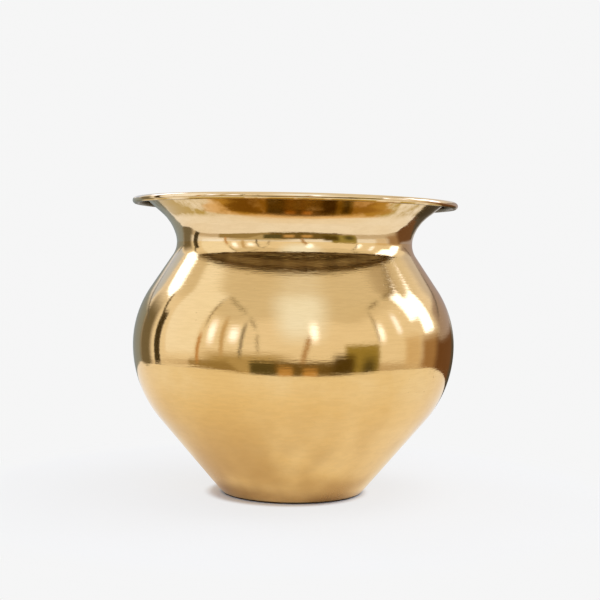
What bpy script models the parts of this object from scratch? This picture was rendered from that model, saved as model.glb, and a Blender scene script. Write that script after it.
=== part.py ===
# Brass lota: a round-bellied water pot of sheet brass, brazed from turned sections,
# with a flared neck whose edge is rolled over a wire.
# It stands on Z = 0 and every piece is turned about Z. Sizes are metres, angles degrees.

import math

import bpy

STEPS = 48
GAP = 0.0003

WALL = 0.0012
BASE_SHEET = 0.0015
LIP_SHEET = 0.0008

BASE_RADIUS = 0.0369
BASE_CORNER = 0.0015
CONE_ANGLE = 40.2
BELLY_RADIUS = 0.0844
BELLY_HEIGHT = 0.0781
UPPER_ARC = 0.0532
SHOULDER_ANGLE = 33.9
NECK_RADIUS = 0.0620
NECK_HEIGHT = 0.1313
NECK_ARC = 0.0118
THROAT_ARC = 0.0130
THROAT_ANGLE = 17.5
FLARE_ARC = 0.0230
FLARE_ANGLE = 51.0
LIP_ARC = 0.0050
RIM_RADIUS = 0.0853
HEIGHT = 0.1537
CURL_RADIUS = 0.0017
CURL_END = -180.0
WIRE_RADIUS = 0.0006

BASE_SEAM = 0.0050
BASE_LAP = 0.0060
BELLY_SEAM = -7.0
JOGGLE_ANGLE = 1.4
JOGGLE = 0.0018
SPIGOT = 0.0060
FILLET = 0.0020
FILLET_ANGLE = 2.2

BRASS = (0.82, 0.60, 0.24)
SATIN_BRASS = (0.74, 0.54, 0.22)
BRAZE = (0.80, 0.66, 0.36)


def sine(angle):
    return math.sin(math.radians(angle))


def cosine(angle):
    return math.cos(math.radians(angle))


def tangent(angle):
    return math.tan(math.radians(angle))


# The lower belly arc has its top at the widest height and runs straight into the cone.
LOWER_ARC = (BELLY_HEIGHT * sine(CONE_ANGLE)
             - (BELLY_RADIUS - BASE_RADIUS) * cosine(CONE_ANGLE)) / (1 - cosine(CONE_ANGLE))

# The flare opens from the tight throat arc into a wider one, tangent where they meet.
FLARE_CENTRE = NECK_RADIUS + THROAT_ARC + (FLARE_ARC - THROAT_ARC) * cosine(THROAT_ANGLE)
FLARE_LEVEL = NECK_HEIGHT - (FLARE_ARC - THROAT_ARC) * sine(THROAT_ANGLE)

# The lip bend is tangent to the straight of the flare and to the level lip.
LIP_UNDER = HEIGHT - LIP_SHEET
LIP_START = LIP_UNDER - LIP_ARC * (1 - sine(FLARE_ANGLE))
FLARE_END_RADIUS = FLARE_CENTRE - FLARE_ARC * cosine(FLARE_ANGLE)
FLARE_END_HEIGHT = FLARE_LEVEL + FLARE_ARC * sine(FLARE_ANGLE)
LIP_CENTRE = (FLARE_END_RADIUS + (LIP_START - FLARE_END_HEIGHT) * tangent(FLARE_ANGLE)
              + LIP_ARC * cosine(FLARE_ANGLE))


# Each of these gives a point (radius, height) of the pot's wall, set in from its outer face.
def cone(height, inset):
    radius = BASE_RADIUS + height * tangent(CONE_ANGLE) - inset * cosine(CONE_ANGLE)
    return radius, height + inset * sine(CONE_ANGLE)


def lower_belly(angle, inset):
    reach = LOWER_ARC - inset
    return BELLY_RADIUS - LOWER_ARC + reach * cosine(angle), BELLY_HEIGHT + reach * sine(angle)


def upper_belly(angle, inset):
    reach = UPPER_ARC - inset
    return BELLY_RADIUS - UPPER_ARC + reach * cosine(angle), BELLY_HEIGHT + reach * sine(angle)


def collar(angle, inset):
    reach = NECK_ARC + inset
    return NECK_RADIUS + NECK_ARC - reach * cosine(angle), NECK_HEIGHT - reach * sine(angle)


def flare(angle, inset):
    if angle < THROAT_ANGLE:
        reach = THROAT_ARC + inset
        return NECK_RADIUS + THROAT_ARC - reach * cosine(angle), NECK_HEIGHT + reach * sine(angle)
    reach = FLARE_ARC + inset
    return FLARE_CENTRE - reach * cosine(angle), FLARE_LEVEL + reach * sine(angle)


def lip(angle, inset):
    reach = LIP_ARC + inset
    return LIP_CENTRE - reach * cosine(angle), LIP_UNDER - LIP_ARC + reach * sine(angle)


def curl(angle, reach):
    return RIM_RADIUS - CURL_RADIUS + reach * cosine(angle), HEIGHT - CURL_RADIUS + reach * sine(angle)


def corner(angle, reach):
    centre = BASE_RADIUS - BASE_CORNER * tangent((90 - CONE_ANGLE) / 2)
    return centre + reach * cosine(angle), BASE_CORNER + reach * sine(angle)


def sweep(curve, start, end, count, inset):
    turns = [start + (end - start) * i / count for i in range(count + 1)]
    return [curve(turn, inset) for turn in turns]


def brass(name, colour, roughness):
    material = bpy.data.materials.new(name)
    material.use_nodes = True
    shader = material.node_tree.nodes["Principled BSDF"]
    shader.inputs["Base Color"].default_value = (*colour, 1.0)
    shader.inputs["Roughness"].default_value = roughness
    shader.inputs["Metallic"].default_value = 1.0
    return material


def finish(piece, colour, roughness):
    piece.data.materials.append(brass(piece.name + "_brass", colour, roughness))
    piece.data.shade_smooth()
    piece.parent = pot
    for owner in piece.users_collection:
        owner.objects.unlink(piece)
    parts.objects.link(piece)


# A section listed down its outer side and back up its inner side, turned about Z.
# A closed section joins its last point to its first; an open one starts and ends on the axis.
def turned(name, section, colour, roughness, closed=True):
    edges = [(i, i + 1) for i in range(len(section) - 1)]
    if closed:
        edges.append((len(section) - 1, 0))
    mesh = bpy.data.meshes.new(name)
    mesh.from_pydata([(radius, 0.0, height) for radius, height in section], edges, [])
    piece = bpy.data.objects.new(name, mesh)
    finish(piece, colour, roughness)
    screw = piece.modifiers.new("turn", "SCREW")
    screw.axis = "Z"
    screw.angle = math.tau
    screw.steps = STEPS
    screw.render_steps = STEPS
    screw.use_merge_vertices = True
    screw.merge_threshold = 0.00001
    screw.use_smooth_shade = True
    return piece


for old in list(bpy.data.objects):
    bpy.data.objects.remove(old)

parts = bpy.data.collections.new("brass_lota")
bpy.context.scene.collection.children.link(parts)
pot = bpy.data.objects.new("lota", None)
parts.objects.link(pot)

# Bottom pan: flat underside, rounded corner, and a flange that nests inside the bowl.
nested = WALL + GAP
flange_in = nested + BASE_SHEET
flange_top = BASE_SEAM + BASE_LAP
floor_edge = BASE_SHEET * (1 - sine(CONE_ANGLE))
turned("base_disc",
       [(0, BASE_SHEET), cone(floor_edge, BASE_SHEET), cone(BASE_SEAM - JOGGLE, BASE_SHEET),
        cone(BASE_SEAM, flange_in), cone(flange_top, flange_in),
        cone(flange_top, nested), cone(BASE_SEAM, nested), cone(BASE_SEAM, 0)]
       + sweep(corner, -CONE_ANGLE, -90, 4, BASE_CORNER)
       + [(0, 0)],
       SATIN_BRASS, 0.32, closed=False)

# Lower bowl: cone and lower belly, with its top edge stepped in to lap inside the body.
lap_in = nested + WALL
turned("lower_bowl",
       sweep(lower_belly, 0, BELLY_SEAM, 2, nested)
       + sweep(lower_belly, BELLY_SEAM, -CONE_ANGLE, 7, 0)
       + [cone(BASE_SEAM + GAP, 0), cone(BASE_SEAM + GAP, WALL)]
       + sweep(lower_belly, -CONE_ANGLE, BELLY_SEAM - JOGGLE_ANGLE, 7, WALL)
       + sweep(lower_belly, BELLY_SEAM, 0, 2, lap_in),
       SATIN_BRASS, 0.28)

# Upper body: widest belly, shoulder and the collar that takes the neck.
seam_top = BELLY_SEAM + math.degrees(GAP / LOWER_ARC)
turned("upper_body",
       sweep(collar, 0, SHOULDER_ANGLE, 6, 0)
       + sweep(upper_belly, SHOULDER_ANGLE, 0, 7, 0)
       + [lower_belly(seam_top, 0), lower_belly(seam_top, WALL)]
       + sweep(upper_belly, 0, SHOULDER_ANGLE, 7, WALL)
       + sweep(collar, SHOULDER_ANGLE, 0, 6, WALL),
       BRASS, 0.16)

# Neck and flared mouth: a spigot inside the collar, the flare, and its edge rolled outward.
spigot_out = NECK_RADIUS - nested
spigot_in = spigot_out - LIP_SHEET
neck_seam = NECK_HEIGHT + GAP
turned("neck_flare",
       sweep(curl, CURL_END, 90, 10, CURL_RADIUS - LIP_SHEET)
       + sweep(lip, 90, FLARE_ANGLE, 4, 0)
       + sweep(flare, FLARE_ANGLE, THROAT_ANGLE, 5, 0)
       + sweep(flare, THROAT_ANGLE, math.degrees(GAP / THROAT_ARC), 3, 0)[1:]
       + [(spigot_out, neck_seam), (spigot_out, NECK_HEIGHT - SPIGOT),
          (spigot_in, NECK_HEIGHT - SPIGOT), (spigot_in, neck_seam + LIP_SHEET)]
       + sweep(flare, math.degrees(3 * LIP_SHEET / THROAT_ARC), THROAT_ANGLE, 2, LIP_SHEET)
       + sweep(flare, THROAT_ANGLE, FLARE_ANGLE, 5, LIP_SHEET)[1:]
       + sweep(lip, FLARE_ANGLE, 90, 4, LIP_SHEET)
       + sweep(curl, 90, CURL_END, 10, CURL_RADIUS),
       BRASS, 0.14)

# Wire that stiffens the rolled rim.
bpy.ops.mesh.primitive_torus_add(
    location=(0, 0, HEIGHT - CURL_RADIUS), major_radius=RIM_RADIUS - CURL_RADIUS,
    minor_radius=WIRE_RADIUS, major_segments=STEPS, minor_segments=8)
wire = bpy.context.object
wire.name = "rim_wire"
finish(wire, SATIN_BRASS, 0.35)

# Brazing fillets, left inside the pot where each lap ends.
ring_low = flange_top + GAP
turned("base_braze_ring",
       [cone(ring_low + FILLET, nested), cone(ring_low, nested), cone(ring_low, flange_in)],
       BRAZE, 0.40)

ring_angle = math.degrees(GAP / UPPER_ARC)
turned("belly_braze_ring",
       [upper_belly(ring_angle + FILLET_ANGLE, nested), upper_belly(ring_angle, nested),
        upper_belly(ring_angle, lap_in)],
       BRAZE, 0.40)

spigot_angle = math.degrees(math.asin((SPIGOT + GAP) / (NECK_ARC + nested)))
turned("neck_braze_ring",
       [collar(spigot_angle, nested), collar(SHOULDER_ANGLE, nested),
        (spigot_out - LIP_SHEET / 2, NECK_HEIGHT - SPIGOT - GAP)],
       BRAZE, 0.40)
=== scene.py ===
import math

import bpy
from mathutils import Matrix, Vector


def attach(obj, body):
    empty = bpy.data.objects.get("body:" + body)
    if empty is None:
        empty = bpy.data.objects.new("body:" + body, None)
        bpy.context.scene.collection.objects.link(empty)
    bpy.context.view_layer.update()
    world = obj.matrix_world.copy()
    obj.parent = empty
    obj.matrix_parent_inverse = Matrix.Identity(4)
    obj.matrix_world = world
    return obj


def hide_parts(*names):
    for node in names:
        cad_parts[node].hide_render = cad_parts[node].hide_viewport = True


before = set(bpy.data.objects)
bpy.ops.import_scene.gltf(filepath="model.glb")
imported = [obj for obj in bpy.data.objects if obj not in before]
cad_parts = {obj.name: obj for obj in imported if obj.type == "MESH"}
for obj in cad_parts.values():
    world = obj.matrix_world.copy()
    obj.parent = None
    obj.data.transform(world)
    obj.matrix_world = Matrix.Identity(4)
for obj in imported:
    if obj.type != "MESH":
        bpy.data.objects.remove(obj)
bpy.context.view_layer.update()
print("frame loaded", sorted(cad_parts))

# the pot's outline, shared by every turned piece (metres and degrees)
shape = {
    "steps": 192, "mergeWithin": 0.00001, "smoothAngle": 35, "axisSlack": 0.00001,
    "wall": 0.0012, "gap": 0.0003, "panSheet": 0.0015, "lipSheet": 0.0008,
    "baseRadius": 0.0369, "baseCorner": 0.0015, "coneAngle": 40.2,
    "bellyRadius": 0.0844, "bellyHeight": 0.0781, "upperArc": 0.0532, "shoulderAngle": 33.9,
    "neckRadius": 0.0620, "neckHeight": 0.1313, "neckArc": 0.0118,
    "throatArc": 0.0130, "throatAngle": 17.5, "flareArc": 0.0230, "flareAngle": 51.0, "lipArc": 0.0050,
    "rimRadius": 0.0853, "height": 0.1537, "curlRadius": 0.0017,
    "baseSeam": 0.0050, "baseLap": 0.0060, "bellySeam": -7.0, "spigot": 0.0060,
}
nested = shape["wall"] + shape["gap"]      # how far in a lapped sheet sits


def sine(angle):
    return math.sin(math.radians(angle))


def cosine(angle):
    return math.cos(math.radians(angle))


def tangent(angle):
    return math.tan(math.radians(angle))


# arcs that run into each other: cone and lower belly, throat and flare, flare and lip
lowerArc = (shape["bellyHeight"] * sine(shape["coneAngle"])
            - (shape["bellyRadius"] - shape["baseRadius"]) * cosine(shape["coneAngle"])) \
    / (1 - cosine(shape["coneAngle"]))
lipUnder = shape["height"] - shape["lipSheet"]
lipStart = lipUnder - shape["lipArc"] * (1 - sine(shape["flareAngle"]))
flareWider = shape["flareArc"] - shape["throatArc"]
flareCentre = shape["neckRadius"] + shape["throatArc"] + flareWider * cosine(shape["throatAngle"])
flareLevel = shape["neckHeight"] - flareWider * sine(shape["throatAngle"])
flareTopRadius = flareCentre - shape["flareArc"] * cosine(shape["flareAngle"])
flareTopHeight = flareLevel + shape["flareArc"] * sine(shape["flareAngle"])
lipCentre = flareTopRadius + (lipStart - flareTopHeight) * tangent(shape["flareAngle"]) \
    + shape["lipArc"] * cosine(shape["flareAngle"])


# each of these gives a point (radius, height) of the wall, set in from its outer face
def onCone(height, inset):
    radius = shape["baseRadius"] + height * tangent(shape["coneAngle"]) - inset * cosine(shape["coneAngle"])
    return radius, height + inset * sine(shape["coneAngle"])


def onLowerBelly(angle, inset):
    reach = lowerArc - inset
    return (shape["bellyRadius"] - lowerArc + reach * cosine(angle),
            shape["bellyHeight"] + reach * sine(angle))


def onUpperBelly(angle, inset):
    reach = shape["upperArc"] - inset
    return (shape["bellyRadius"] - shape["upperArc"] + reach * cosine(angle),
            shape["bellyHeight"] + reach * sine(angle))


def onCollar(angle, inset):
    reach = shape["neckArc"] + inset
    return (shape["neckRadius"] + shape["neckArc"] - reach * cosine(angle),
            shape["neckHeight"] - reach * sine(angle))


def onFlare(angle, inset):
    if angle < shape["throatAngle"]:
        reach = shape["throatArc"] + inset
        return (shape["neckRadius"] + shape["throatArc"] - reach * cosine(angle),
                shape["neckHeight"] + reach * sine(angle))
    reach = shape["flareArc"] + inset
    return flareCentre - reach * cosine(angle), flareLevel + reach * sine(angle)


def onLip(angle, inset):
    reach = shape["lipArc"] + inset
    return lipCentre - reach * cosine(angle), lipUnder - shape["lipArc"] + reach * sine(angle)


# these two take the distance from the middle of the roll or of the corner
def onCurl(angle, reach):
    return (shape["rimRadius"] - shape["curlRadius"] + reach * cosine(angle),
            shape["height"] - shape["curlRadius"] + reach * sine(angle))


def onCorner(angle, reach):
    centre = shape["baseRadius"] - shape["baseCorner"] * tangent((90 - shape["coneAngle"]) / 2)
    return centre + reach * cosine(angle), shape["baseCorner"] + reach * sine(angle)


def along(curve, start, end, count, inset):
    # points on a curve, count faces from start to end
    return [curve(start + (end - start) * i / count, inset) for i in range(count + 1)]


def run(first, last, count):
    # points between two ends of a straight, so that long faces stay short
    return [(first[0] + (last[0] - first[0]) * i / count,
             first[1] + (last[1] - first[1]) * i / count) for i in range(1, count)]


def deselect():
    if bpy.context.object and bpy.context.object.mode != "OBJECT":
        bpy.ops.object.mode_set(mode="OBJECT")
    bpy.ops.object.select_all(action="DESELECT")


def pick(piece):
    deselect()
    piece.select_set(True)
    bpy.context.view_layer.objects.active = piece


def pickParts(piece, kind, chosen):
    # opens the active piece in edit mode with only the chosen points or faces selected
    bpy.ops.object.mode_set(mode="EDIT")
    bpy.ops.mesh.select_mode(type=kind)
    bpy.ops.mesh.select_all(action="DESELECT")
    bpy.ops.object.mode_set(mode="OBJECT")
    for part in piece.data.vertices if kind == "VERT" else piece.data.polygons:
        part.select = chosen(part)
    bpy.ops.object.mode_set(mode="EDIT")


def turnSection(name, section, closed=True):
    # one point drawn along the section in edit mode, then spun about the axis
    deselect()
    bpy.ops.mesh.primitive_plane_add(location=(0, 0, 0))
    piece = bpy.context.object
    piece.name = name
    piece.data.name = name
    bpy.ops.object.mode_set(mode="EDIT")
    bpy.ops.mesh.select_mode(type="VERT")
    bpy.ops.mesh.select_all(action="SELECT")
    bpy.ops.mesh.merge(type="CENTER")
    bpy.ops.transform.translate(value=(section[0][0], 0, section[0][1]))
    path = section[1:] + section[:1] if closed else section[1:]
    here = section[0]
    for there in path:
        step = (there[0] - here[0], 0, there[1] - here[1])
        bpy.ops.mesh.extrude_region_move(TRANSFORM_OT_translate={"value": step})
        here = there
    bpy.ops.mesh.select_all(action="SELECT")
    bpy.ops.mesh.spin(steps=shape["steps"], angle=math.tau, center=(0, 0, 0), axis=(0, 0, 1))
    bpy.ops.mesh.select_all(action="SELECT")
    bpy.ops.mesh.remove_doubles(threshold=shape["mergeWithin"])
    bpy.ops.mesh.normals_make_consistent(inside=False)
    bpy.ops.object.mode_set(mode="OBJECT")
    bpy.ops.object.shade_smooth_by_angle(angle=math.radians(shape["smoothAngle"]))
    return piece


def handBeaten(piece, sizes):
    # the slight unevenness that hammering and hand polishing leave
    texture = bpy.data.textures.new(piece.name + "Waves", "CLOUDS")
    texture.noise_scale = sizes["waveScale"]
    texture.noise_depth = 1
    waves = piece.modifiers.new("waves", "DISPLACE")
    waves.texture = texture
    waves.texture_coords = "GLOBAL"
    waves.direction = "NORMAL"
    waves.strength = sizes["waves"]
    waves.mid_level = 0.5
    pick(piece)
    bpy.ops.object.modifier_apply(modifier="waves")


def leanRim(piece, lean):
    # the mouth dips a little to one side, from nothing at the neck to all of it at the rim
    pick(piece)
    for i in range(lean["shares"]):
        level = shape["neckHeight"] + (lipUnder - shape["neckHeight"]) * (i + 1) / (lean["shares"] + 1)
        pickParts(piece, "VERT", lambda point: point.co.z > level)
        bpy.ops.transform.rotate(value=math.radians(-lean["angle"]) / lean["shares"], orient_axis="Y",
                                 center_override=(0, 0, shape["neckHeight"]))
        bpy.ops.object.mode_set(mode="OBJECT")


def coat(piece, outer, *others):
    # the outer finish all over, then each other finish on the faces that its test picks
    piece.data.materials.append(outer)
    pick(piece)
    for index, (finish, picks) in enumerate(others):
        piece.data.materials.append(finish)
        pickParts(piece, "FACE", lambda face: picks(face.center, face.normal))
        piece.active_material_index = index + 1
        bpy.ops.object.material_slot_assign()
        bpy.ops.object.mode_set(mode="OBJECT")


def facesAxis(centre, normal):
    return centre.x * normal.x + centre.y * normal.y < -shape["axisSlack"]


def setPiece(piece, node):
    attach(piece, "root")
    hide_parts(node)
    print("piece", piece.name, len(piece.data.polygons), "faces")


# shader nodes
mixSockets = {"first": 6, "second": 7, "result": 2}     # a Mix node's own sockets for colours


def feed(tree, socket, value):
    # another node's output is linked, a plain value is set
    if isinstance(value, bpy.types.NodeSocket):
        tree.links.new(value, socket)
    else:
        socket.default_value = value


def addNode(tree, kind, **settings):
    node = tree.nodes.new(kind)
    for key, value in settings.items():
        if key in node.inputs:
            node.inputs[key].default_value = value
        else:
            setattr(node, key, value)
    return node


def mathNode(tree, operation, *values):
    node = addNode(tree, "ShaderNodeMath", operation=operation)
    for index, value in enumerate(values):
        feed(tree, node.inputs[index], value)
    return node.outputs[0]


def rangeNode(tree, value, low, high, toLow=0.0, toHigh=1.0):
    node = addNode(tree, "ShaderNodeMapRange", interpolation_type="SMOOTHSTEP")
    labels = ("Value", "From Min", "From Max", "To Min", "To Max")
    for label, part in zip(labels, (value, low, high, toLow, toHigh)):
        feed(tree, node.inputs[label], part)
    return node.outputs["Result"]


def noiseNode(tree, vector, scale, detail, roughness=0.5):
    node = addNode(tree, "ShaderNodeTexNoise")
    for label, value in zip(("Vector", "Scale", "Detail", "Roughness"), (vector, scale, detail, roughness)):
        feed(tree, node.inputs[label], value)
    return node.outputs["Fac"]


def mixColour(tree, factor, first, second):
    node = addNode(tree, "ShaderNodeMix", data_type="RGBA")
    feed(tree, node.inputs["Factor"], factor)
    for place, value in (("first", first), ("second", second)):
        feed(tree, node.inputs[mixSockets[place]], (*value, 1.0) if isinstance(value, tuple) else value)
    return node.outputs[mixSockets["result"]]


def splitPlace(tree, vector):
    parts = addNode(tree, "ShaderNodeSeparateXYZ")
    tree.links.new(vector, parts.inputs[0])
    return parts.outputs


# shader groups shared by the brass finishes
def newGroup(name, inputs, outputs):
    group = bpy.data.node_groups.new(name, "ShaderNodeTree")
    group.interface.new_socket(name="Vector", in_out="INPUT", socket_type="NodeSocketVector")
    for label, value in inputs:
        socket = group.interface.new_socket(name=label, in_out="INPUT", socket_type="NodeSocketFloat")
        socket.default_value = value
    for label in outputs:
        group.interface.new_socket(name=label, in_out="OUTPUT", socket_type="NodeSocketFloat")
    return group, group.nodes.new("NodeGroupInput").outputs, group.nodes.new("NodeGroupOutput").inputs


lathe = {"slope": 0.6, "lineScale": 1.0, "lineDetail": 4.0, "lineRoughness": 0.65,
         "scratchScale": 4.3, "scratchDetail": 2.0, "scratchRange": (0.60, 0.72)}


def makeLatheLines():
    # rings left by turning and buffing: noise stretched round the axis
    group, entry, leave = newGroup(
        "latheLines", [("Lines per Metre", 1400.0), ("Break", 2.0)], ["Lines", "Scratches"])
    x, y, z = splitPlace(group, entry["Vector"])
    radius = mathNode(group, "SQRT", mathNode(group, "ADD", mathNode(group, "MULTIPLY", x, x),
                                              mathNode(group, "MULTIPLY", y, y)))
    turn = mathNode(group, "ARCTAN2", y, x)
    reach = mathNode(group, "SUBTRACT", z, mathNode(group, "MULTIPLY", radius, lathe["slope"]))
    joined = addNode(group, "ShaderNodeCombineXYZ")
    for index, (value, size) in enumerate(((mathNode(group, "SINE", turn), "Break"),
                                           (mathNode(group, "COSINE", turn), "Break"),
                                           (reach, "Lines per Metre"))):
        group.links.new(mathNode(group, "MULTIPLY", value, entry[size]), joined.inputs[index])
    wrapped = joined.outputs[0]
    lines = noiseNode(group, wrapped, lathe["lineScale"], lathe["lineDetail"], lathe["lineRoughness"])
    fine = noiseNode(group, wrapped, lathe["scratchScale"], lathe["scratchDetail"])
    group.links.new(lines, leave["Lines"])
    group.links.new(rangeNode(group, fine, *lathe["scratchRange"]), leave["Scratches"])
    return group


touch = {"smearDetail": 5.0, "smearRoughness": 0.6, "smearRange": (0.35, 0.70),
         "pitDetail": 2.0, "pitRange": (0.70, 0.76),
         "patchScale": 45.0, "patchDetail": 2.0, "patchRange": (0.52, 0.66)}


def makeHandling():
    # smears, fingerprints' haze and patches of tiny pits
    group, entry, leave = newGroup(
        "handling", [("Smear Scale", 28.0), ("Pit Scale", 620.0)], ["Smear", "Pits"])
    place = entry["Vector"]
    smear = noiseNode(group, place, entry["Smear Scale"], touch["smearDetail"], touch["smearRoughness"])
    pits = noiseNode(group, place, entry["Pit Scale"], touch["pitDetail"])
    patch = noiseNode(group, place, touch["patchScale"], touch["patchDetail"])
    group.links.new(rangeNode(group, smear, *touch["smearRange"]), leave["Smear"])
    group.links.new(mathNode(group, "MULTIPLY", rangeNode(group, pits, *touch["pitRange"]),
                             rangeNode(group, patch, *touch["patchRange"])), leave["Pits"])
    return group


cloudy = {"roughness": 0.62, "range": (0.38, 0.68)}


def makeTarnishAndShade():
    # brown bloom, tarnish on some finishes and painted shade on others: full at one height and gone at the
    # other, broken up by noise
    group, entry, leave = newGroup(
        "tarnishAndShade", [("Low", 0.0), ("High", 0.02), ("Spread", 60.0), ("Detail", 6.0)], ["Bloom"])
    cloud = noiseNode(group, entry["Vector"], entry["Spread"], entry["Detail"], cloudy["roughness"])
    height = splitPlace(group, entry["Vector"])["Z"]
    level = rangeNode(group, height, entry["Low"], entry["High"], 1.0, 0.0)
    group.links.new(mathNode(group, "MULTIPLY", rangeNode(group, cloud, *cloudy["range"]), level),
                    leave["Bloom"])
    return group


latheLines = makeLatheLines()
handling = makeHandling()
tarnishAndShade = makeTarnishAndShade()


def placeGroup(tree, group, vector, **values):
    node = tree.nodes.new("ShaderNodeGroup")
    node.node_tree = group
    tree.links.new(vector, node.inputs["Vector"])
    for label, value in values.items():
        node.inputs[label.replace("_", " ")].default_value = value
    return node.outputs


def brassFinish(name, look):
    material = bpy.data.materials.new(name)
    material.use_nodes = True
    tree = material.node_tree
    shader = tree.nodes["Principled BSDF"].inputs
    shader["Metallic"].default_value = 1.0
    shader["Anisotropic"].default_value = look["grain"]
    shader["Anisotropic Rotation"].default_value = look["grainTurn"]
    mapping = addNode(tree, "ShaderNodeMapping", Rotation=(0, 0, math.radians(look["turn"])))
    tree.links.new(tree.nodes.new("ShaderNodeTexCoord").outputs["Object"], mapping.inputs["Vector"])
    place = mapping.outputs["Vector"]
    turned = placeGroup(tree, latheLines, place, Lines_per_Metre=look["lines"], Break=look["breaks"])
    marks = placeGroup(tree, handling, place, Smear_Scale=look["smearScale"])
    bloomAndShade = placeGroup(tree, tarnishAndShade, place, Low=look["bloomLow"], High=look["bloomHigh"],
                       Spread=look["bloomSpread"], Detail=look["bloomDetail"])["Bloom"]
    # colour: smears, streaks along the lathe lines, then bloom and pits; on some finishes the bloom is
    # painted shade
    tint = mixColour(tree, marks["Smear"], look["bright"], look["deep"])
    streaks = rangeNode(tree, turned["Lines"], *look["streakRange"], 0.0, look["streak"])
    tint = mixColour(tree, streaks, tint, look["brown"])
    wearAndShade = mathNode(tree, "MAXIMUM", mathNode(tree, "MULTIPLY", bloomAndShade, look["bloomAndShade"]),
                    mathNode(tree, "MULTIPLY", marks["Pits"], look["pits"]))
    tint = mixColour(tree, wearAndShade, tint, look["brown"])
    if "mirrored" in look:
        # painted reflection tone: paler where another part of the pot mirrors it
        path = tree.nodes.new("ShaderNodeLightPath")
        tint = mixColour(tree, path.outputs["Is Glossy Ray"], tint, look["mirrored"])
    tree.links.new(tint, shader["Base Color"])
    rough = look["roughness"]
    for mask, share in ((marks["Smear"], "haze"), (turned["Scratches"], "scratch"), (wearAndShade, "wornRough")):
        rough = mathNode(tree, "ADD", rough, mathNode(tree, "MULTIPLY", mask, look[share]))
    tree.links.new(rough, shader["Roughness"])
    relief = mathNode(tree, "SUBTRACT", turned["Lines"],
                      mathNode(tree, "MULTIPLY", marks["Pits"], look["pitDepth"]))
    bump = addNode(tree, "ShaderNodeBump", Strength=look["relief"], Distance=look["depth"])
    tree.links.new(relief, bump.inputs["Height"])
    tree.links.new(bump.outputs["Normal"], shader["Normal"])
    return material


# the finishes: colours, roughness, lathe lines, marks and bloom
plainLook = {
    "grainTurn": 0.25, "streakRange": (0.40, 0.62), "streak": 0.10, "pitDepth": 0.8, "wornRough": 0.25,
    "bloomSpread": 60.0, "bloomDetail": 6.0, "turn": 0,
}
polishedLook = dict(
    plainLook, bright=(0.885, 0.60, 0.27), deep=(0.86, 0.57, 0.24), brown=(0.46, 0.25, 0.08),
    roughness=0.06, haze=0.03, scratch=0.03, grain=0.30, streak=0.08,
    lines=850.0, breaks=9.0, relief=0.5, depth=0.00004,
    smearScale=14.0, pits=0.45, bloomAndShade=0.30, bloomLow=0.0, bloomHigh=0.050)
bodyLook = dict(polishedLook, depth=0.00007)
# the bowl: brown bloom darker towards the bottom, turned so that its dark patch lies on the left; partly
# tarnish, partly painted shade on the left side
bowlLook = dict(
    polishedLook, bright=(0.905, 0.625, 0.28), deep=(0.855, 0.545, 0.20), smearScale=20.0,
    bloomAndShade=0.78, bloomHigh=0.066, bloomSpread=22.0, bloomDetail=2.0, turn=212)
neckLook = dict(
    polishedLook, bright=(0.93, 0.71, 0.43), deep=(0.89, 0.65, 0.36), roughness=0.055,
    mirrored=(0.90, 0.82, 0.52))
# the upper flare: brown bloom strongest just under the lip, partly tarnish and partly painted shade under
# the rim
lipLook = dict(
    neckLook, brown=(0.52, 0.31, 0.05), roughness=0.09, wornRough=0.0,
    bloomAndShade=2.6, bloomLow=0.1465, bloomHigh=0.1425, bloomSpread=40.0, turn=210)
insideLook = dict(
    plainLook, bright=(0.80, 0.55, 0.25), deep=(0.70, 0.45, 0.19), brown=(0.32, 0.18, 0.07),
    roughness=0.22, haze=0.10, scratch=0.10, grain=0.55,
    lines=900.0, breaks=1.2, relief=0.45, depth=0.00004,
    smearScale=34.0, pits=0.6, bloomAndShade=0.55, bloomLow=0.004, bloomHigh=0.075)
brazeLook = dict(
    plainLook, bright=(0.80, 0.66, 0.36), deep=(0.66, 0.50, 0.26), brown=(0.28, 0.20, 0.11),
    roughness=0.34, haze=0.12, scratch=0.05, grain=0.1,
    lines=500.0, breaks=14.0, relief=0.5, depth=0.00006,
    smearScale=160.0, pits=0.8, bloomAndShade=0.5, bloomLow=0.1, bloomHigh=0.2)
undersideLook = dict(
    plainLook, bright=(0.78, 0.54, 0.24), deep=(0.66, 0.44, 0.19), brown=(0.25, 0.16, 0.08),
    roughness=0.26, haze=0.14, scratch=0.14, grain=0.4,
    lines=1100.0, breaks=1.0, relief=0.5, depth=0.00004,
    smearScale=70.0, pits=0.9, bloomAndShade=0.6, bloomLow=-0.001, bloomHigh=0.004)
# a dark, dull brass; on the lip's underside it is painted shade
shadedLook = dict(
    plainLook, bright=(0.46, 0.38, 0.24), deep=(0.38, 0.31, 0.19), brown=(0.14, 0.11, 0.06),
    roughness=0.34, haze=0.12, scratch=0.05, grain=0.3,
    lines=900.0, breaks=2.0, relief=0.4, depth=0.00003,
    smearScale=60.0, pits=0.8, bloomAndShade=0.5, bloomLow=0.1, bloomHigh=0.2)
# the roll's hidden side: painted shade in the crevice, together with its blackening
rollOxideAndShadeLook = dict(shadedLook, bright=(0.20, 0.155, 0.09), deep=(0.16, 0.125, 0.07))
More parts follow.
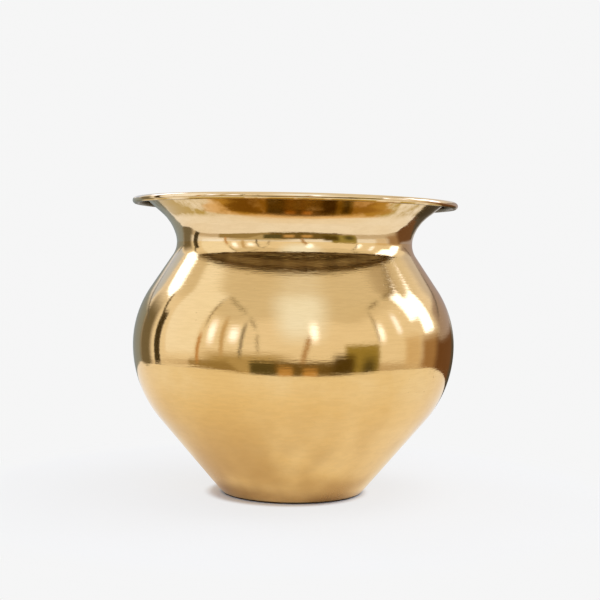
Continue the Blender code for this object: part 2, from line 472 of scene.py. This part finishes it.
# painted contact shadow at the foot: a near-black, dull brass for the corner
footShadowLook = dict(shadedLook, bright=(0.10, 0.055, 0.028), deep=(0.08, 0.045, 0.022), roughness=0.6)
polishedBrass = brassFinish("polishedBrass", bodyLook)
lipBrass = brassFinish("lipBrass", lipLook)
bowlBrass = brassFinish("bowlBrass", bowlLook)
neckBrass = brassFinish("neckBrass", neckLook)
rollOxideAndShadeBrass = brassFinish("rollOxideAndShadeBrass", rollOxideAndShadeLook)
footShadowBrass = brassFinish("footShadowBrass", footShadowLook)
shadedBrass = brassFinish("shadedBrass", shadedLook)
insideBrass = brassFinish("insideBrass", insideLook)
brazeAlloy = brassFinish("brazeAlloy", brazeLook)
undersideBrass = brassFinish("undersideBrass", undersideLook)
print("finishes made")

# bottom pan; a facing is the least or most upward part of a face's normal
# two of these sizes bound the band of painted contact shadow at the foot
basePan = {"joggle": 0.0018, "footShadowHeight": 0.0009, "underTurn": 3,
           "footShadowFacing": -0.3, "insideFacing": 0.5, "undersideFacing": -0.95}
flangeIn = nested + shape["panSheet"]
flangeTop = shape["baseSeam"] + shape["baseLap"]
panMiddle = (0, shape["panSheet"])
panFloor = onCone(shape["panSheet"] * (1 - sine(shape["coneAngle"])), shape["panSheet"])


def footShadowLine(centre, normal):
    # painted contact shadow: the dark line at the foot, on the rounded corner and the lowest edge of the
    # cone above it
    turnsUnder = normal.z < -sine(shape["coneAngle"] + basePan["underTurn"])
    return turnsUnder or normal.z < basePan["footShadowFacing"] and centre.z < basePan["footShadowHeight"]


def panInside(centre, normal):
    return normal.z > basePan["insideFacing"] or facesAxis(centre, normal)


def panUnderside(centre, normal):
    return normal.z < basePan["undersideFacing"]


basePiece = turnSection(
    "base_pan",
    [panMiddle] + run(panMiddle, panFloor, 10) + [panFloor]
    + [onCone(shape["baseSeam"] - basePan["joggle"], shape["panSheet"]),
       onCone(shape["baseSeam"], flangeIn), onCone(flangeTop, flangeIn), onCone(flangeTop, nested),
       onCone(shape["baseSeam"], nested), onCone(shape["baseSeam"], 0), onCone(basePan["footShadowHeight"], 0)]
    + along(onCorner, -shape["coneAngle"], -90, 12, shape["baseCorner"])
    + run(onCorner(-90, shape["baseCorner"]), (0, 0), 10) + [(0, 0)],
    closed=False)
coat(basePiece, bowlBrass, (footShadowBrass, footShadowLine), (insideBrass, panInside), (undersideBrass, panUnderside))
setPiece(basePiece, "base_disc")

# lower bowl
bowl = {"joggleAngle": 1.4, "waves": 0.00004, "waveScale": 0.035}
lapIn = nested + shape["wall"]
coneTop = onLowerBelly(-shape["coneAngle"], 0)
bowlFoot = onCone(shape["baseSeam"], 0)
bowlFootIn = onCone(shape["baseSeam"], shape["wall"])
bowlPiece = turnSection(
    "lower_bowl_shell",
    along(onLowerBelly, 0, shape["bellySeam"], 6, nested)
    + along(onLowerBelly, shape["bellySeam"], -shape["coneAngle"], 26, 0)
    + run(coneTop, bowlFoot, 24) + [bowlFoot, bowlFootIn]
    + run(bowlFootIn, onLowerBelly(-shape["coneAngle"], shape["wall"]), 16)
    + along(onLowerBelly, -shape["coneAngle"], shape["bellySeam"] - bowl["joggleAngle"], 20, shape["wall"])
    + along(onLowerBelly, shape["bellySeam"], 0, 6, lapIn))
handBeaten(bowlPiece, bowl)
coat(bowlPiece, bowlBrass, (insideBrass, facesAxis))
setPiece(bowlPiece, "lower_bowl")

# upper body
body = {"waves": 0.00003, "waveScale": 0.035}
shoulderLow = onUpperBelly(shape["shoulderAngle"], 0)
shoulderHigh = onCollar(shape["shoulderAngle"], 0)
innerLow = onUpperBelly(shape["shoulderAngle"], shape["wall"])
innerHigh = onCollar(shape["shoulderAngle"], shape["wall"])
bodyPiece = turnSection(
    "upper_body_shell",
    along(onCollar, 0, shape["shoulderAngle"], 18, 0)
    + run(shoulderHigh, shoulderLow, 14)
    + along(onUpperBelly, shape["shoulderAngle"], 0, 26, 0)
    + along(onLowerBelly, 0, shape["bellySeam"], 5, 0)[1:]
    + [onLowerBelly(shape["bellySeam"], shape["wall"])]
    + along(onUpperBelly, 0, shape["shoulderAngle"], 20, shape["wall"])
    + run(innerLow, innerHigh, 10)
    + along(onCollar, shape["shoulderAngle"], 0, 14, shape["wall"]))
handBeaten(bodyPiece, body)
coat(bodyPiece, polishedBrass, (insideBrass, facesAxis))
setPiece(bodyPiece, "upper_body")

# neck, flare and rolled rim; tops are heights above the neck
neck = {"curlEnd": -184.0, "footSheets": 3, "waves": 0.00004, "waveScale": 0.04,
        "insideTop": 0.001, "flareTopFrom": 0.008, "flareFacing": -0.5,
        "lipInset": 0.003, "lipFacing": -0.8, "rollCurls": 2.2, "rollFacing": -0.93}
rimLean = {"angle": 0.45, "shares": 6}
spigotOut = shape["neckRadius"] - nested
spigotIn = spigotOut - shape["lipSheet"]
spigotFoot = shape["neckHeight"] - shape["spigot"]
spigotTop = (spigotIn, shape["neckHeight"] + shape["gap"])
flareFoot = math.degrees(neck["footSheets"] * shape["lipSheet"] / shape["throatArc"])
curlInside = shape["curlRadius"] - shape["lipSheet"]


def throatInside(centre, normal):
    return facesAxis(centre, normal) and centre.z < shape["neckHeight"] + neck["insideTop"]


def flareTop(centre, normal):
    # the upper flare, outside, below the roll
    return centre.z > shape["neckHeight"] + neck["flareTopFrom"] and normal.z < neck["flareFacing"]


def underLip(centre, normal):
    # the level underside of the lip, darkened with painted shade; its finish is duller too, where no buff
    # reaches
    reach = math.hypot(centre.x, centre.y)
    onLevel = lipCentre - neck["lipInset"] < reach < shape["rimRadius"] - 2 * shape["curlRadius"]
    return onLevel and normal.z < neck["lipFacing"]


def behindRoll(centre, normal):
    # the sides of the roll that face down and back to the flare, dark with painted shade and with the
    # crevice's own blackening
    reach = math.hypot(centre.x, centre.y)
    inRoll = reach > shape["rimRadius"] - neck["rollCurls"] * shape["curlRadius"] and centre.z < lipUnder
    return inRoll and (normal.z < neck["rollFacing"] or facesAxis(centre, normal))


neckPiece = turnSection(
    "neck_and_flare",
    along(onCurl, neck["curlEnd"], 90, 30, curlInside)
    + run(onCurl(90, curlInside), onLip(90, 0), 5)
    + along(onLip, 90, shape["flareAngle"], 12, 0)
    + run(onLip(shape["flareAngle"], 0), onFlare(shape["flareAngle"], 0), 8)
    + along(onFlare, shape["flareAngle"], shape["throatAngle"], 18, 0)
    + along(onFlare, shape["throatAngle"], 0, 10, 0)[1:]
    + [(spigotOut, shape["neckHeight"]), (spigotOut, spigotFoot), (spigotIn, spigotFoot)]
    + run((spigotIn, spigotFoot), spigotTop, 5) + [spigotTop]
    + along(onFlare, flareFoot, shape["throatAngle"], 6, shape["lipSheet"])
    + along(onFlare, shape["throatAngle"], shape["flareAngle"], 16, shape["lipSheet"])[1:]
    + run(onFlare(shape["flareAngle"], shape["lipSheet"]), onLip(shape["flareAngle"], shape["lipSheet"]), 8)
    + along(onLip, shape["flareAngle"], 90, 12, shape["lipSheet"])
    + run(onLip(90, shape["lipSheet"]), onCurl(90, shape["curlRadius"]), 5)
    + along(onCurl, 90, neck["curlEnd"], 36, shape["curlRadius"]))
handBeaten(neckPiece, neck)
coat(neckPiece, neckBrass, (insideBrass, throatInside), (lipBrass, flareTop),
     (shadedBrass, underLip), (rollOxideAndShadeBrass, behindRoll))
leanRim(neckPiece, rimLean)
setPiece(neckPiece, "neck_flare")

# wire inside the rolled rim
wire = {"radius": 0.0006, "sides": 12}
lastSide = -360 * (1 - 1 / wire["sides"])
wirePiece = turnSection("wire_in_rim", along(onCurl, 0, lastSide, wire["sides"] - 1, wire["radius"]))
coat(wirePiece, undersideBrass)
leanRim(wirePiece, rimLean)
setPiece(wirePiece, "rim_wire")

# brazing fillets: hollow-faced rings of alloy in the corners of the laps
fillet = {"size": 0.0020, "angle": 2.2, "faces": 6, "hollow": 0.35, "waves": 0.00016, "waveScale": 0.006}


def hollowFace(first, last, corner):
    # a fillet's free face, drawn in towards its corner
    points = []
    for i in range(1, fillet["faces"]):
        part = i / fillet["faces"]
        pull = fillet["hollow"] * math.sin(math.pi * part)
        mid = (first[0] + (last[0] - first[0]) * part, first[1] + (last[1] - first[1]) * part)
        points.append((mid[0] + (corner[0] - mid[0]) * pull, mid[1] + (corner[1] - mid[1]) * pull))
    return points


def brazeRing(name, node, top, corner, inner):
    piece = turnSection(name, [top, corner, inner] + hollowFace(inner, top, corner))
    handBeaten(piece, fillet)
    coat(piece, brazeAlloy)
    setPiece(piece, node)


ringFoot = flangeTop + shape["gap"]
brazeRing("braze_at_base", "base_braze_ring", onCone(ringFoot + fillet["size"], nested),
          onCone(ringFoot, nested), onCone(ringFoot, flangeIn))
ringAngle = math.degrees(shape["gap"] / shape["upperArc"])
brazeRing("braze_at_belly", "belly_braze_ring", onUpperBelly(ringAngle + fillet["angle"], nested),
          onUpperBelly(ringAngle, nested), onUpperBelly(ringAngle, lapIn))
spigotAngle = math.degrees(math.asin((shape["spigot"] + shape["gap"]) / (shape["neckArc"] + nested)))
brazeRing("braze_at_neck", "neck_braze_ring", onCollar(shape["shoulderAngle"], nested),
          onCollar(spigotAngle, nested), (spigotOut - shape["lipSheet"] / 2, spigotFoot - shape["gap"]))
print("pieces made")

# stage: white floor sheet, pale studio, soft boxes and flags out of the camera's sight
stage = {
    "white": 0.92, "cardReach": 2.0, "rodReach": 1.85, "cardHeight": 0.08,
    "skirtReach": 2.4, "skirtTop": -0.25, "skirtDrop": 2.6, "skirtSides": 96,
    "skirtColour": (0.62, 0.55, 0.45), "skirtSoft": 0.08,
    "ceilingHeight": 2.5, "ceilingHalf": 4.2, "ceilingColour": (0.77, 0.76, 0.72), "ceilingSoft": 0.16,
    "lampPlace": (0.45, -0.1, 1.45), "lampSize": 0.9, "lampPower": 5.6,
}


def blankMaterial(name):
    material = bpy.data.materials.new(name)
    material.use_nodes = True
    tree = material.node_tree
    tree.nodes.remove(tree.nodes["Principled BSDF"])
    return material, tree


def showMix(tree, factor, first, second):
    mixed = tree.nodes.new("ShaderNodeMixShader")
    for index, value in enumerate((factor, first.outputs[0], second.outputs[0])):
        tree.links.new(value, mixed.inputs[index])
    tree.links.new(mixed.outputs[0], tree.nodes["Material Output"].inputs["Surface"])


def glowMaterial(name, colour, strength, soft):
    # an even glow whose edges fade out over a share of the panel's size
    material, tree = blankMaterial(name + "Light")
    glow = addNode(tree, "ShaderNodeEmission", Color=(*colour, 1.0), Strength=strength)
    place = splitPlace(tree, tree.nodes.new("ShaderNodeTexCoord").outputs["UV"])
    edges = []
    for axis in ("X", "Y"):
        near = mathNode(tree, "MINIMUM", place[axis], mathNode(tree, "SUBTRACT", 1.0, place[axis]))
        edges.append(rangeNode(tree, near, 0.0, soft))
    clear = tree.nodes.new("ShaderNodeBsdfTransparent")
    showMix(tree, mathNode(tree, "MULTIPLY", *edges), clear, glow)
    return material


def offCamera(thing):
    thing.visible_camera = False
    thing.visible_shadow = False


# an oval sheet just under the foot, its back left corner drawn out; the even white starts round
# the foot in part, and is whole further out
floor = {
    "halfWidth": 0.385, "shift": -0.02, "front": -0.245, "back": 0.30, "drop": 0.0001, "points": 160,
    "tailFrom": (-0.10, 0.17), "tailMove": (-0.03, 0.12, 0.0), "grey": 0.86,
    "evenCentre": (-0.003, -0.0015, 0.0), "evenNear": (0.0375, 0.0445), "evenShare": 0.80,
    "evenFar": (0.09, 0.19), "bounceColour": (0.92, 0.865, 0.75),
}


def floorMaterial():
    material, tree = blankMaterial("floorWhite")
    matt = addNode(tree, "ShaderNodeBsdfDiffuse", Color=(floor["grey"],) * 3 + (1.0,))
    even = addNode(tree, "ShaderNodeEmission")
    offset = addNode(tree, "ShaderNodeVectorMath", operation="SUBTRACT")
    length = addNode(tree, "ShaderNodeVectorMath", operation="LENGTH")
    tree.links.new(tree.nodes.new("ShaderNodeTexCoord").outputs["Object"], offset.inputs[0])
    offset.inputs[1].default_value = floor["evenCentre"]
    tree.links.new(offset.outputs[0], length.inputs[0])
    away = length.outputs["Value"]
    near = rangeNode(tree, away, *floor["evenNear"], 0.0, floor["evenShare"])
    far = rangeNode(tree, away, *floor["evenFar"])
    path = tree.nodes.new("ShaderNodeLightPath").outputs
    # painted warm light: the metal sees a warm tint painted on the floor round it, standing in for its own
    # bounced light
    warm = mathNode(tree, "MULTIPLY", path["Is Glossy Ray"], mathNode(tree, "SUBTRACT", 1.0, far))
    tree.links.new(mixColour(tree, warm, (stage["white"],) * 3, floor["bounceColour"]), even.inputs["Color"])
    seen = mathNode(tree, "MAXIMUM", path["Is Camera Ray"], path["Is Glossy Ray"])
    showMix(tree, mathNode(tree, "MULTIPLY", mathNode(tree, "MAXIMUM", near, far), seen), matt, even)
    return material


def makeFloor():
    deselect()
    bpy.ops.mesh.primitive_circle_add(
        vertices=floor["points"], radius=1, fill_type="NGON", location=(0, 0, 0))
    sheet = bpy.context.object
    sheet.name = "floorSheet"
    halfDepth = (floor["back"] - floor["front"]) / 2
    bpy.ops.object.mode_set(mode="EDIT")
    bpy.ops.transform.resize(value=(floor["halfWidth"], halfDepth, 1))
    bpy.ops.transform.translate(value=(floor["shift"], floor["front"] + halfDepth, -floor["drop"]))
    tailRight, tailFront = floor["tailFrom"]
    pickParts(sheet, "VERT", lambda point: point.co.x < tailRight and point.co.y > tailFront)
    bpy.ops.transform.translate(value=floor["tailMove"])
    bpy.ops.object.mode_set(mode="OBJECT")
    sheet.data.materials.append(floorMaterial())


def toward(bearing, rise):
    # the direction from the pot at a bearing from the front and an elevation
    turn, lift = math.radians(bearing), math.radians(rise)
    return Vector((math.sin(turn) * math.cos(lift), -math.cos(turn) * math.cos(lift), math.sin(lift)))


def makePanel(name, look, wide, tall, placing):
    deselect()
    bpy.ops.mesh.primitive_plane_add(size=1, location=(0, 0, 0))
    panel = bpy.context.object
    panel.name = name
    bpy.ops.object.mode_set(mode="EDIT")
    bpy.ops.transform.resize(value=(wide, tall, 1))
    bpy.ops.object.mode_set(mode="OBJECT")
    panel.matrix_world = Matrix.Translation((0, 0, stage["cardHeight"])) @ placing
    panel.data.materials.append(glowMaterial(name, look["colour"], look["strength"], look["soft"]))
    offCamera(panel)


def makeCard(name, card):
    # a flat panel facing the pot, between two bearings and two elevations
    rise = (card["low"] + card["high"]) / 2
    reach = card.get("reach", stage["cardReach"])
    centre = toward((card["from"] + card["to"]) / 2, rise) * reach
    wide = 2 * reach * cosine(rise) * tangent((card["to"] - card["from"]) / 2)
    tall = 2 * reach * tangent((card["high"] - card["low"]) / 2)
    facing = (-centre).to_track_quat("Z", "Y").to_matrix().to_4x4()
    makePanel(name, card, wide, tall, Matrix.Translation(centre) @ facing)


def makeRod(name, rod):
    # a thin panel facing the pot, from one direction to another
    reach = rod.get("reach", stage["rodReach"])
    start, end = toward(*rod["start"]) * reach, toward(*rod["end"]) * reach
    centre = (start + end) / 2
    length = (end - start).normalized()
    facing = -centre.normalized()
    axes = Matrix((length.cross(facing), length, facing)).transposed().to_4x4()
    wide = reach * math.radians(rod["width"])
    makePanel(name, rod, wide, (end - start).length, Matrix.Translation(centre) @ axes)


def makeSkirt():
    # a dim band all round, below the level of the floor sheet
    deselect()
    bpy.ops.mesh.primitive_cylinder_add(
        vertices=stage["skirtSides"], radius=stage["skirtReach"], depth=stage["skirtDrop"],
        end_fill_type="NOTHING", location=(0, 0, stage["skirtTop"] - stage["skirtDrop"] / 2))
    skirt = bpy.context.object
    skirt.name = "skirt"
    skirt.data.materials.append(glowMaterial("skirt", stage["skirtColour"], 1.0, stage["skirtSoft"]))
    offCamera(skirt)


def makeCeiling():
    deselect()
    bpy.ops.mesh.primitive_plane_add(size=2 * stage["ceilingHalf"], location=(0, 0, stage["ceilingHeight"]))
    ceiling = bpy.context.object
    ceiling.name = "ceiling"
    ceiling.data.materials.append(glowMaterial("ceiling", stage["ceilingColour"], 1.0, stage["ceilingSoft"]))
    offCamera(ceiling)


# bearings from and to, elevations low and high (degrees), and the share of a panel that fades at its edges
boxWhite = (0.84, 1.0, 1.55)     # bluish, so that brass mirrors it as white
cards = {
    # soft boxes
    "softBoxRight": {"from": 104, "to": 120, "low": 7, "high": 35,
                     "colour": boxWhite, "strength": 2.7, "soft": 0.1},
    "innerBoxRight": {"from": 93, "to": 106, "low": 18, "high": 41,
                      "colour": boxWhite, "strength": 2.7, "soft": 0.12},
    "stripBoxRight": {"from": 77, "to": 83, "low": 10, "high": 31,
                      "colour": boxWhite, "strength": 1.7, "soft": 0.3},
    "smallBoxRight": {"from": 60, "to": 68, "low": 4, "high": 27,
                      "colour": boxWhite, "strength": 2.4, "soft": 0.45},
    "smallBoxFront": {"from": 10, "to": 19, "low": 6, "high": 34,
                      "colour": boxWhite, "strength": 2.4, "soft": 0.45},
    "glowFront": {"from": -22, "to": 34, "low": 2, "high": 74,
                  "colour": (0.94, 1.12, 1.50), "strength": 1.08, "soft": 0.4, "reach": 2.1},
    "smallBoxLeft": {"from": -47, "to": -36, "low": 4, "high": 26,
                     "colour": boxWhite, "strength": 1.9, "soft": 0.45},
    "stripBoxLeft": {"from": -63, "to": -54, "low": 0, "high": 31,
                     "colour": boxWhite, "strength": 1.9, "soft": 0.45},
    "softBoxLeft": {"from": -134, "to": -117, "low": 25, "high": 50,
                    "colour": boxWhite, "strength": 3.0, "soft": 0.1},
    "wallLeft": {"from": -103, "to": -66, "low": -8, "high": 54,
                 "colour": (0.98, 1.06, 1.22), "strength": 1.05, "soft": 0.12, "reach": 2.1},
    # flags at the sides and behind
    "darkFlagLeft": {"from": -112.5, "to": -104.5, "low": -24, "high": 22,
                     "colour": (1.0, 0.8, 0.4), "strength": 0.06, "soft": 0.1},
    "umberFlagLeft": {"from": -135, "to": -110, "low": -30, "high": 27,
                      "colour": (1.0, 0.90, 0.62), "strength": 0.19, "soft": 0.28, "reach": 0.72},
    "greyFlagLeft": {"from": -172, "to": -128, "low": -45, "high": 14,
                     "colour": (0.90, 1.04, 1.08), "strength": 0.32, "soft": 0.08, "reach": 0.7},
    "paleFlagLeft": {"from": -160, "to": -133, "low": 12, "high": 44,
                     "colour": (0.82, 0.98, 1.30), "strength": 0.72, "soft": 0.12, "reach": 0.8},
    "greyFlagRight": {"from": 116, "to": 170, "low": 0, "high": 20,
                      "colour": (1.0, 0.86, 0.86), "strength": 0.40, "soft": 0.2, "reach": 0.7},
    "paleFlagRight": {"from": 126, "to": 168, "low": 11, "high": 42,
                      "colour": (1.0, 1.0, 1.05), "strength": 0.66, "soft": 0.25, "reach": 0.8},
    "umberFlagRight": {"from": 108, "to": 160, "low": -52, "high": 10,
                       "colour": (1.0, 0.50, 0.22), "strength": 0.16, "soft": 0.2, "reach": 0.72},
    "slateFlagRight": {"from": 142, "to": 176, "low": -50, "high": 6,
                       "colour": (1.0, 0.84, 0.60), "strength": 0.09, "soft": 0.2, "reach": 0.69},
    "warmFlagRight": {"from": 95, "to": 128, "low": -22, "high": 11,
                      "colour": (1.0, 0.66, 0.36), "strength": 0.38, "soft": 0.3},
    "dimRight": {"from": 84, "to": 126, "low": 36, "high": 60,
                 "colour": (1.0, 0.94, 0.84), "strength": 0.56, "soft": 0.25, "reach": 2.1},
    "dimRightLow": {"from": 80, "to": 102, "low": -16, "high": 13,
                    "colour": (1.0, 0.87, 0.68), "strength": 0.74, "soft": 0.3, "reach": 2.05},
    # low flags in front, seen just above the edge of the floor sheet
    "lowHaze": {"from": -74, "to": 6, "low": -28, "high": 2,
                "colour": (1.0, 0.84, 0.48), "strength": 0.50, "soft": 0.32, "reach": 2.2},
    "lowBandLeft": {"from": -82, "to": -24, "low": -50, "high": -8,
                    "colour": (1.0, 0.78, 0.36), "strength": 0.34, "soft": 0.08, "reach": 2.1},
    "lowBand": {"from": -31, "to": 50, "low": -50, "high": -7,
                "colour": (1.0, 0.70, 0.20), "strength": 0.16, "soft": 0.12, "reach": 2.05},
    "lowFlagLeft": {"from": -31, "to": -11, "low": -26, "high": -8,
                    "colour": (1.0, 0.85, 0.32), "strength": 0.11, "soft": 0.15, "reach": 1.95},
    "lowFlagMiddle": {"from": -12, "to": 2, "low": -28, "high": -12,
                      "colour": (1.0, 0.64, 0.25), "strength": 0.56, "soft": 0.3},
    "lowFlagWarm": {"from": 5, "to": 19, "low": -28, "high": -13,
                    "colour": (1.0, 0.62, 0.22), "strength": 0.56, "soft": 0.3, "reach": 1.93},
    "lowFlagRight": {"from": 24, "to": 46, "low": -28, "high": 1,
                     "colour": (1.0, 0.68, 0.12), "strength": 0.09, "soft": 0.3, "reach": 1.95},
    "oliveFlagRight": {"from": 34, "to": 62, "low": -26, "high": 7,
                       "colour": (1.0, 0.84, 0.24), "strength": 0.36, "soft": 0.07},
    "darkFlagRight": {"from": 44, "to": 63, "low": -30, "high": 1,
                      "colour": (1.0, 0.85, 0.3), "strength": 0.09, "soft": 0.48, "reach": 1.95},
}
# stands of the boxes and edges of the panels, as thin strips from one direction to another
edgeTint = (1.0, 0.88, 0.6)
edgeTintRight = (1.0, 0.86, 0.55)
rods = {
    "standLeft": {"start": (-66, 15), "end": (-69, -14), "width": 3.2,
                  "colour": (1.0, 0.62, 0.28), "strength": 0.58, "soft": 0.2},
    "standBetween": {"start": (-50, 34), "end": (-49, -10), "width": 4.0,
                     "colour": (1.0, 0.82, 0.55), "strength": 0.62, "soft": 0.25},
    "standThin": {"start": (-34, 31), "end": (-36, -10), "width": 2.1,
                  "colour": (1.0, 0.9, 0.6), "strength": 0.07, "soft": 0.25},
    "standFront": {"start": (12, 19), "end": (5.5, -14), "width": 4.2,
                   "colour": (1.0, 0.68, 0.38), "strength": 0.48, "soft": 0.25},
    "standRight": {"start": (61, 38), "end": (61, 3), "width": 1.8,
                   "colour": (1.0, 0.86, 0.6), "strength": 0.18, "soft": 0.3},
    "edgeLeftTall": {"start": (-65, 50), "end": (-65, 16), "width": 1.6,
                     "colour": edgeTint, "strength": 0.24, "soft": 0.3},
    "edgeLeftTop": {"start": (-67, 50), "end": (-34, 34), "width": 2.0,
                    "colour": edgeTint, "strength": 0.22, "soft": 0.3},
    "edgeLeftSlope": {"start": (-34, 34), "end": (-25, 20), "width": 1.8,
                      "colour": edgeTint, "strength": 0.20, "soft": 0.3},
    "edgeLeftSide": {"start": (-25, 20), "end": (-23, -4), "width": 1.8,
                     "colour": edgeTint, "strength": 0.26, "soft": 0.3},
    "edgeRightTop": {"start": (61, 37), "end": (81, 42), "width": 2.2,
                     "colour": edgeTintRight, "strength": 0.20, "soft": 0.3},
    "edgeRightFar": {"start": (81, 42), "end": (112, 40), "width": 2.4,
                     "colour": edgeTintRight, "strength": 0.24, "soft": 0.3},
    "leanLeft": {"start": (-110, 14), "end": (-118, 32), "width": 3.0,
                 "colour": (1.0, 0.85, 0.5), "strength": 0.12, "soft": 0.3},
    "rimLeft": {"start": (-149, 17), "end": (-119, 8), "width": 2.2,
                "colour": (1.0, 1.0, 0.95), "strength": 0.16, "soft": 0.3, "reach": 0.66},
    "rimRight": {"start": (150, 19), "end": (123, 10), "width": 2.2,
                 "colour": (1.0, 0.9, 0.85), "strength": 0.16, "soft": 0.3, "reach": 0.66},
}


def makeWorld():
    world = bpy.data.worlds.new("paleStudio")
    bpy.context.scene.world = world
    world.use_nodes = True
    studio = world.node_tree.nodes["Background"]
    studio.inputs["Color"].default_value = (stage["white"],) * 3 + (1.0,)
    studio.inputs["Strength"].default_value = 1.0


def makeLamp():
    # broad overhead lamp, a little to the right
    bpy.ops.object.light_add(type="AREA", location=stage["lampPlace"])
    lamp = bpy.context.object
    lamp.data.shape = "DISK"
    lamp.data.size = stage["lampSize"]
    lamp.data.energy = stage["lampPower"]
    lamp.visible_glossy = False    # its own glare stays off the metal


makeFloor()
makeSkirt()
makeCeiling()
makeLamp()
for cardName, cardSizes in cards.items():
    makeCard(cardName, cardSizes)
for rodName, rodSizes in rods.items():
    makeRod(rodName, rodSizes)
makeWorld()
bpy.context.scene.view_settings.view_transform = "Standard"
print("stage made")

# camera: level with the foot of the neck, tipped down a little and turned slightly
view = {"place": (0.0032, -0.636, 0.1226), "tip": 1.91, "roll": 0.70, "lens": 72.0, "sensor": 36.0,
        "nearest": 0.01}
bpy.ops.object.camera_add()
camera = bpy.context.object
camera.data.sensor_width = view["sensor"]
camera.data.lens = view["lens"]
camera.data.clip_start = view["nearest"]
tipped = Matrix.Rotation(math.radians(90 - view["tip"]), 4, "X")
rolled = Matrix.Rotation(math.radians(view["roll"]), 4, "Z")
camera.matrix_world = Matrix.Translation(view["place"]) @ tipped @ rolled
bpy.context.scene.camera = camera
